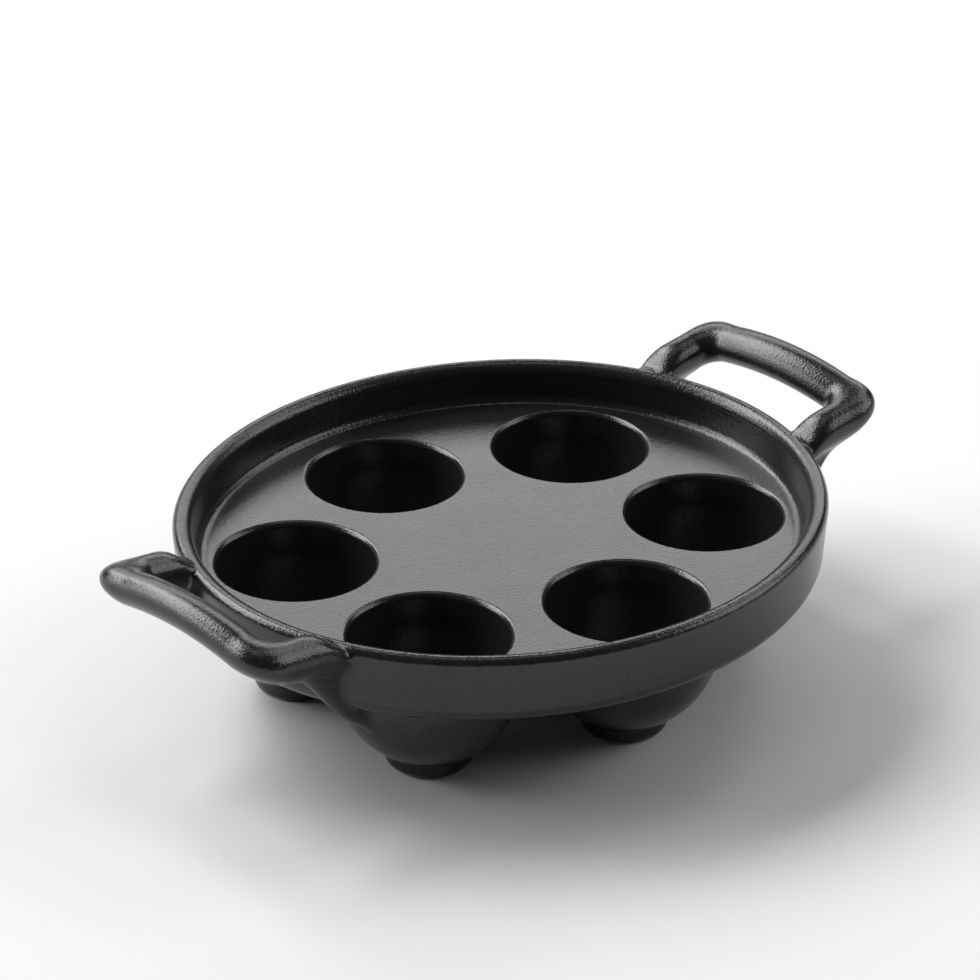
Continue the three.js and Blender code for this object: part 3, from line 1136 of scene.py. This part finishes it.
@dataclass(frozen=True)
class Studio:
    """Floor, light and camera, set as in the photograph."""

    # The camera's aim near the deck's level, and where it stands from there, in millimetres
    aim: tuple[float, float, float] = (12.77, 17.78, 29.31)
    distance: float = 933.2
    elevation: float = math.radians(27.72)
    heading: float = math.radians(42.75)
    roll: float = math.radians(-0.41)
    lens: float = 157.15
    sensor: float = 36.0
    # The floor's sizes in metres; it lies a hair under the feet
    floor_size: float = 30.0
    floor_drop: float = 0.00005
    floor_colour: str = "#eeeeee"
    # Brightness of the plain room round the lamps
    world_fill: float = 0.05
    boxes: tuple[SoftBox, ...] = (
        SoftBox("key_panel", bearing=-52, elevation=45, width=2.0, height=1.5, glow=7.8),
        SoftBox("left_panel", bearing=-84, elevation=29, width=1.5, height=1.2, glow=6.0),
        SoftBox("left_strip", bearing=-86, elevation=9, width=1.5, height=0.9, glow=2.2),
        SoftBox("right_panel", bearing=80, elevation=31, width=2.0, height=1.8, glow=2.6),
        SoftBox("second_panel", bearing=42, elevation=48, width=1.2, height=0.9, glow=2.5),
        SoftBox("back_panel", bearing=-6, elevation=28, width=4.2, height=1.2, glow=2.6, distance=3.4),
        SoftBox("top_box", bearing=0, elevation=76, width=1.2, height=0.9, glow=1.2),
    )

    def directions(self) -> tuple[Vector, Vector]:
        """Gives the level directions away from the camera and to the right of the picture."""
        back = Vector((math.sin(self.heading), math.cos(self.heading), 0))
        return back, Vector((back.y, -back.x, 0))

    def add_camera(self) -> None:
        """Puts the camera where the photograph was taken."""
        back, right = self.directions()
        forward = back * math.cos(self.elevation) - Vector((0, 0, math.sin(self.elevation)))
        over = right.cross(forward)
        across = right * math.cos(self.roll) - over * math.sin(self.roll)
        upright = right * math.sin(self.roll) + over * math.cos(self.roll)
        data = bpy.data.cameras.new("photo_camera")
        data.lens, data.sensor_width = self.lens, self.sensor
        camera = add_object("photo_camera", data)
        place = (Vector(self.aim) - forward * self.distance) * MM
        turn = Matrix((across, upright, -forward)).transposed().to_4x4()
        camera.matrix_world = Matrix.Translation(place) @ turn
        bpy.context.scene.camera = camera

    def add_light(self, box: SoftBox) -> None:
        """Hangs one soft panel that faces the pan.

        Args:
            box: the panel
        """
        back, right = self.directions()
        bearing, elevation = math.radians(box.bearing), math.radians(box.elevation)
        level = back * math.cos(bearing) + right * math.sin(bearing)
        out = level * math.cos(elevation) + Vector((0, 0, math.sin(elevation)))
        data = bpy.data.lights.new(box.name, "AREA")
        data.shape = "RECTANGLE"
        data.size, data.size_y = box.width, box.height
        data.energy = box.glow * math.pi * box.width * box.height
        light = add_object(box.name, data)
        light.location = out * box.distance
        light.rotation_mode = "QUATERNION"
        light.rotation_quaternion = out.to_track_quat("Z", "Y")
        light.visible_camera = False

    def add_floor(self) -> None:
        """Lays the pale floor."""
        half = self.floor_size / 2
        mesh = bpy.data.meshes.new("floor")
        corners = [(-half, -half), (half, -half), (half, half), (-half, half)]
        mesh.from_pydata([(x, y, -self.floor_drop) for x, y in corners], [], [(0, 1, 2, 3)])
        paper = bpy.data.materials.new("white_studio_paper")
        tree = empty_tree(paper)
        settings = {"Color": linear(self.floor_colour), "Roughness": 0.0}
        shader = add_node(tree, "ShaderNodeBsdfDiffuse", settings, {})
        add_node(tree, "ShaderNodeOutputMaterial", {}, {"Surface": shader.outputs["BSDF"]})
        mesh.materials.append(paper)
        floor = add_object("floor", mesh)

    def add_world(self) -> None:
        """Fills the room with dim even light."""
        world = bpy.data.worlds.new("studio")
        tree = empty_tree(world)
        settings = {"Color": linear("#ffffff"), "Strength": self.world_fill}
        light = add_node(tree, "ShaderNodeBackground", settings, {})
        add_node(tree, "ShaderNodeOutputWorld", {}, {"Surface": light.outputs["Background"]})
        bpy.context.scene.world = world

    def build(self) -> None:
        """Sets the whole studio."""
        self.add_floor()
        self.add_world()
        for box in self.boxes:
            self.add_light(box)
        self.add_camera()
        bpy.context.scene.view_settings.view_transform = "Standard"


def main() -> None:
    """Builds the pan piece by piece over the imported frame, then the studio round it."""
    logging.basicConfig(level=logging.INFO, format="%(name)s: %(message)s")
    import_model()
    pan = PanSizes()
    finish = SatinIron().material()
    pieces = [Rim(pan).build(finish), Deck(pan).build(LevelCoat().material())]
    for name in pan.well_places:
        pieces += Well(pan, name).build(finish)
    pieces += Handle(pan).build(finish)
    for piece in pieces:
        LOG.info("%s: %d faces", piece.name, len(piece.data.polygons))
    Studio().build()


if __name__ == "__main__":
    main()
